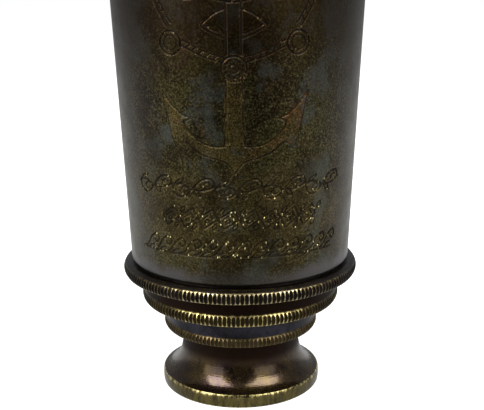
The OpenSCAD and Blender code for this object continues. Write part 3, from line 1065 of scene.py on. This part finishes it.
def lens_glass():
    p = Paint("lens_glass")
    dust = p.noise(0.8 * MM, 5, 0.75)
    p.set(base_color=rgb(0.93, 0.97, 0.96), ior=1.52, transmission_weight=1.0)
    p.set(roughness=p.ramp(dust, 0.55, 0.8, 0.0, 0.08))
    return p.block


# ---------------------------------------------------------------- putting it together
def dress(piece, body, material, node):
    """Gives a piece its material and body, and hides the CAD node that it stands for."""
    piece.data.materials.append(material)
    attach(piece, body)
    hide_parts(node)


def dress_cad(node, material):
    """A CAD node whose shape is right keeps it and gets a better material."""
    materials = frame["nodes"][node].data.materials
    for k in range(len(materials)):
        materials[k] = material


def dress_barrel():
    metal = turned_metal(
        "knurled_bronze", rgb(0.006, 0.0045, 0.0035), rgb(0.019, 0.015, 0.012),
        worn=rgb(0.39, 0.33, 0.18), shine=0.34, wear_low=0.62)
    dress(barrel_piece(), "barrel", barrel_metal(), "barrel_tube")
    dress(tail_ring_piece(), "barrel", metal, "barrel_tail_ring")
    dress(objective_ring_piece(), "barrel", metal, "objective_ring")


def dress_draw_rings():
    first_metal = turned_metal(
        "rubbed_bronze", rgb(0.011, 0.0075, 0.002), rgb(0.034, 0.024, 0.008),
        worn=rgb(0.52, 0.43, 0.18), shine=0.3, wear_low=0.6,
        # Painted shade: the shoulder above 24.6 mm, under the tail ring, is painted near
        # black.
        shade_band=(24.1 * MM, 24.6 * MM))
    first = draw_ring_piece(
        "first_ring", "first_draw_ring", "first_draw_tube", "second_draw_tube",
        height=6.7 * MM, knurl=2.6 * MM, lean=0.6 * MM)
    dress(first, "first_draw", first_metal, "first_draw_ring")
    second_metal = turned_metal(
        "smooth_bronze", rgb(0.012, 0.0105, 0.012), rgb(0.032, 0.032, 0.043),
        worn=rgb(0.15, 0.11, 0.055), shine=0.3, wear_low=0.6,
        foot=(16.9 * MM, rgb(0.055, 0.038, 0.016)))
    second = draw_ring_piece(
        "second_ring", "second_draw_ring", "second_draw_tube", "eyepiece_draw_tube",
        height=7.0 * MM, knurl=2.2 * MM, lean=0.0)
    dress(second, "second_draw", second_metal, "second_draw_ring")


def dress_eyepiece():
    metal = turned_metal(
        "eyepiece_bronze", rgb(0.022, 0.011, 0.013), rgb(0.058, 0.038, 0.013),
        worn=rgb(0.55, 0.47, 0.19), shine=0.15, wear_low=0.75,
        # Painted shade: darker from 7.5 mm up, near black above 10.6 mm on the neck under the
        # second ring.
        shade_band=(7.5 * MM, 10.6 * MM), foot=(3.25 * MM, rgb(0.105, 0.088, 0.024)),
        coat=0.25, mottle=0.45)
    dress(eyepiece_cup_piece(), "eyepiece_draw", metal, "eyepiece_cup")


def dress_draw_tubes():
    metal = tube_metal()
    for name in ("first", "second", "eyepiece"):
        node = f"{name}_draw_tube"
        piece = tube_piece(f"{name}_tube", node)
        dress(piece, f"{name}_draw", metal, node)


def dress_inner_parts():
    finish = {"bare_brass": bare_brass(), "blacked_brass": blacked_metal(),
              "optical_glass": lens_glass()}
    for row in frame["record"]["subparts"]:
        if row["material_slot"] in finish:
            dress_cad(row["node"], finish[row["material_slot"]])


# ---------------------------------------------------------------- camera, floor, light
def add_light(name, place, aim, size, watts):
    lamp = bpy.data.lights.new(name, "AREA")
    lamp.shape = "RECTANGLE"
    lamp.size, lamp.size_y = size
    lamp.energy = watts
    holder = bpy.data.objects.new(name, lamp)
    holder.location = place
    towards = Vector(aim) - Vector(place)
    holder.rotation_euler = towards.to_track_quat("-Z", "Y").to_euler()
    bpy.context.scene.collection.objects.link(holder)


def add_camera():
    """Looks down at the closed telescope's lower two thirds from in front, close by."""
    distance, height, aside = 222.2 * MM, 101.0 * MM, 0.6 * MM
    pitch, lean = math.radians(14.454), math.radians(0.49)
    data = bpy.data.cameras.new("camera")
    data.sensor_width = 36.0
    data.lens = 71.3
    data.clip_start = 0.01
    holder = bpy.data.objects.new("camera", data)
    holder.matrix_world = (
        Matrix.Translation((aside, -distance, height))
        @ Matrix.Rotation(math.radians(90) - pitch, 4, "X")
        @ Matrix.Rotation(-lean, 4, "Z")
    )
    bpy.context.scene.collection.objects.link(holder)
    bpy.context.scene.camera = holder


def stage_sheet():
    """A round flat sheet whose rings are closer together near its middle."""
    reach, rings, sides = 3.0, 24, 96
    around = [2 * math.pi * i / sides for i in range(sides)]
    points = [(0.0, 0.0, 0.0)]
    for k in range(1, rings + 1):
        r = reach * (k / rings) ** 2
        points += [(r * math.cos(a), r * math.sin(a), 0.0) for a in around]
    faces = [(0, 1 + i, 1 + (i + 1) % sides) for i in range(sides)]
    for k in range(rings - 1):
        a, b = 1 + k * sides, 1 + (k + 1) * sides
        for i in range(sides):
            j = (i + 1) % sides
            faces.append((a + i, b + i, b + j, a + j))
    mesh = bpy.data.meshes.new("stage_sheet")
    mesh.from_pydata(points, [], faces)
    mesh.shade_smooth()
    sheet = bpy.data.objects.new("stage_sheet", mesh)
    bpy.context.scene.collection.objects.link(sheet)
    return sheet


def stage_paper():
    """Paper that the camera sees lit up white. What the metal sees in it is pale, but for
    a dark patch in front of the telescope: a painted shadow, as of a studio's dark
    camera side."""
    p = Paint("stage_paper")
    x, y, _ = p.axes()
    # Painted shadow: a dark disc on the paper in front of the telescope, seen mainly in the
    # metal's reflections.
    shadow_y, shadow_r, pale_r = -0.36, 0.14, 0.43
    pale = p.ramp(p.length(x, p.math("ADD", y, -shadow_y)), shadow_r, pale_r)
    tone = p.mix(pale, rgb(0.03, 0.03, 0.03), rgb(0.36, 0.36, 0.355))
    p.set(base_color=tone, roughness=0.8, emission_color=rgb(1, 1, 1))
    p.set(emission_strength=p.blend(p.seen(), p.blend(pale, 0.0, 0.08), 0.86))
    return p.block


def add_stage():
    sheet = stage_sheet()
    sheet.data.materials.append(stage_paper())


def add_lamps():
    centre = (0, 0, 0.03)
    add_light("left_softbox", (-0.385, -0.323, 0.585), centre, (0.34, 0.52), 9.0)
    add_light("right_softbox", (0.378, -0.300, 0.600), centre, (0.48, 0.50), 8.5)
    add_light("left_fill", (-0.567, -0.476, 0.22), centre, (0.50, 0.32), 1.3)
    add_light("right_fill", (0.523, -0.523, 0.22), centre, (0.50, 0.32), 1.0)
    add_light("top_softbox", (0, 0.25, 1.1), (0, 0.2, 0), (1.2, 0.9), 6.0)


def add_world():
    """A pale world that the camera sees white. It lights the metal from behind the
    telescope, and hardly at all from in front."""
    p = Paint("world", bpy.data.worlds.new, "Background", "Generated")
    light = p.ramp(p.axes()[1], -0.9, 0.1, 0.05, 0.34)
    p.set(color=(0.95, 0.97, 1.0, 1), strength=p.blend(p.seen(), light, 1.0))
    bpy.context.scene.world = p.block
    bpy.context.scene.view_settings.view_transform = "Standard"


dress_barrel()
dress_draw_rings()
dress_eyepiece()
dress_draw_tubes()
dress_inner_parts()
add_camera()
add_stage()
add_lamps()
add_world()
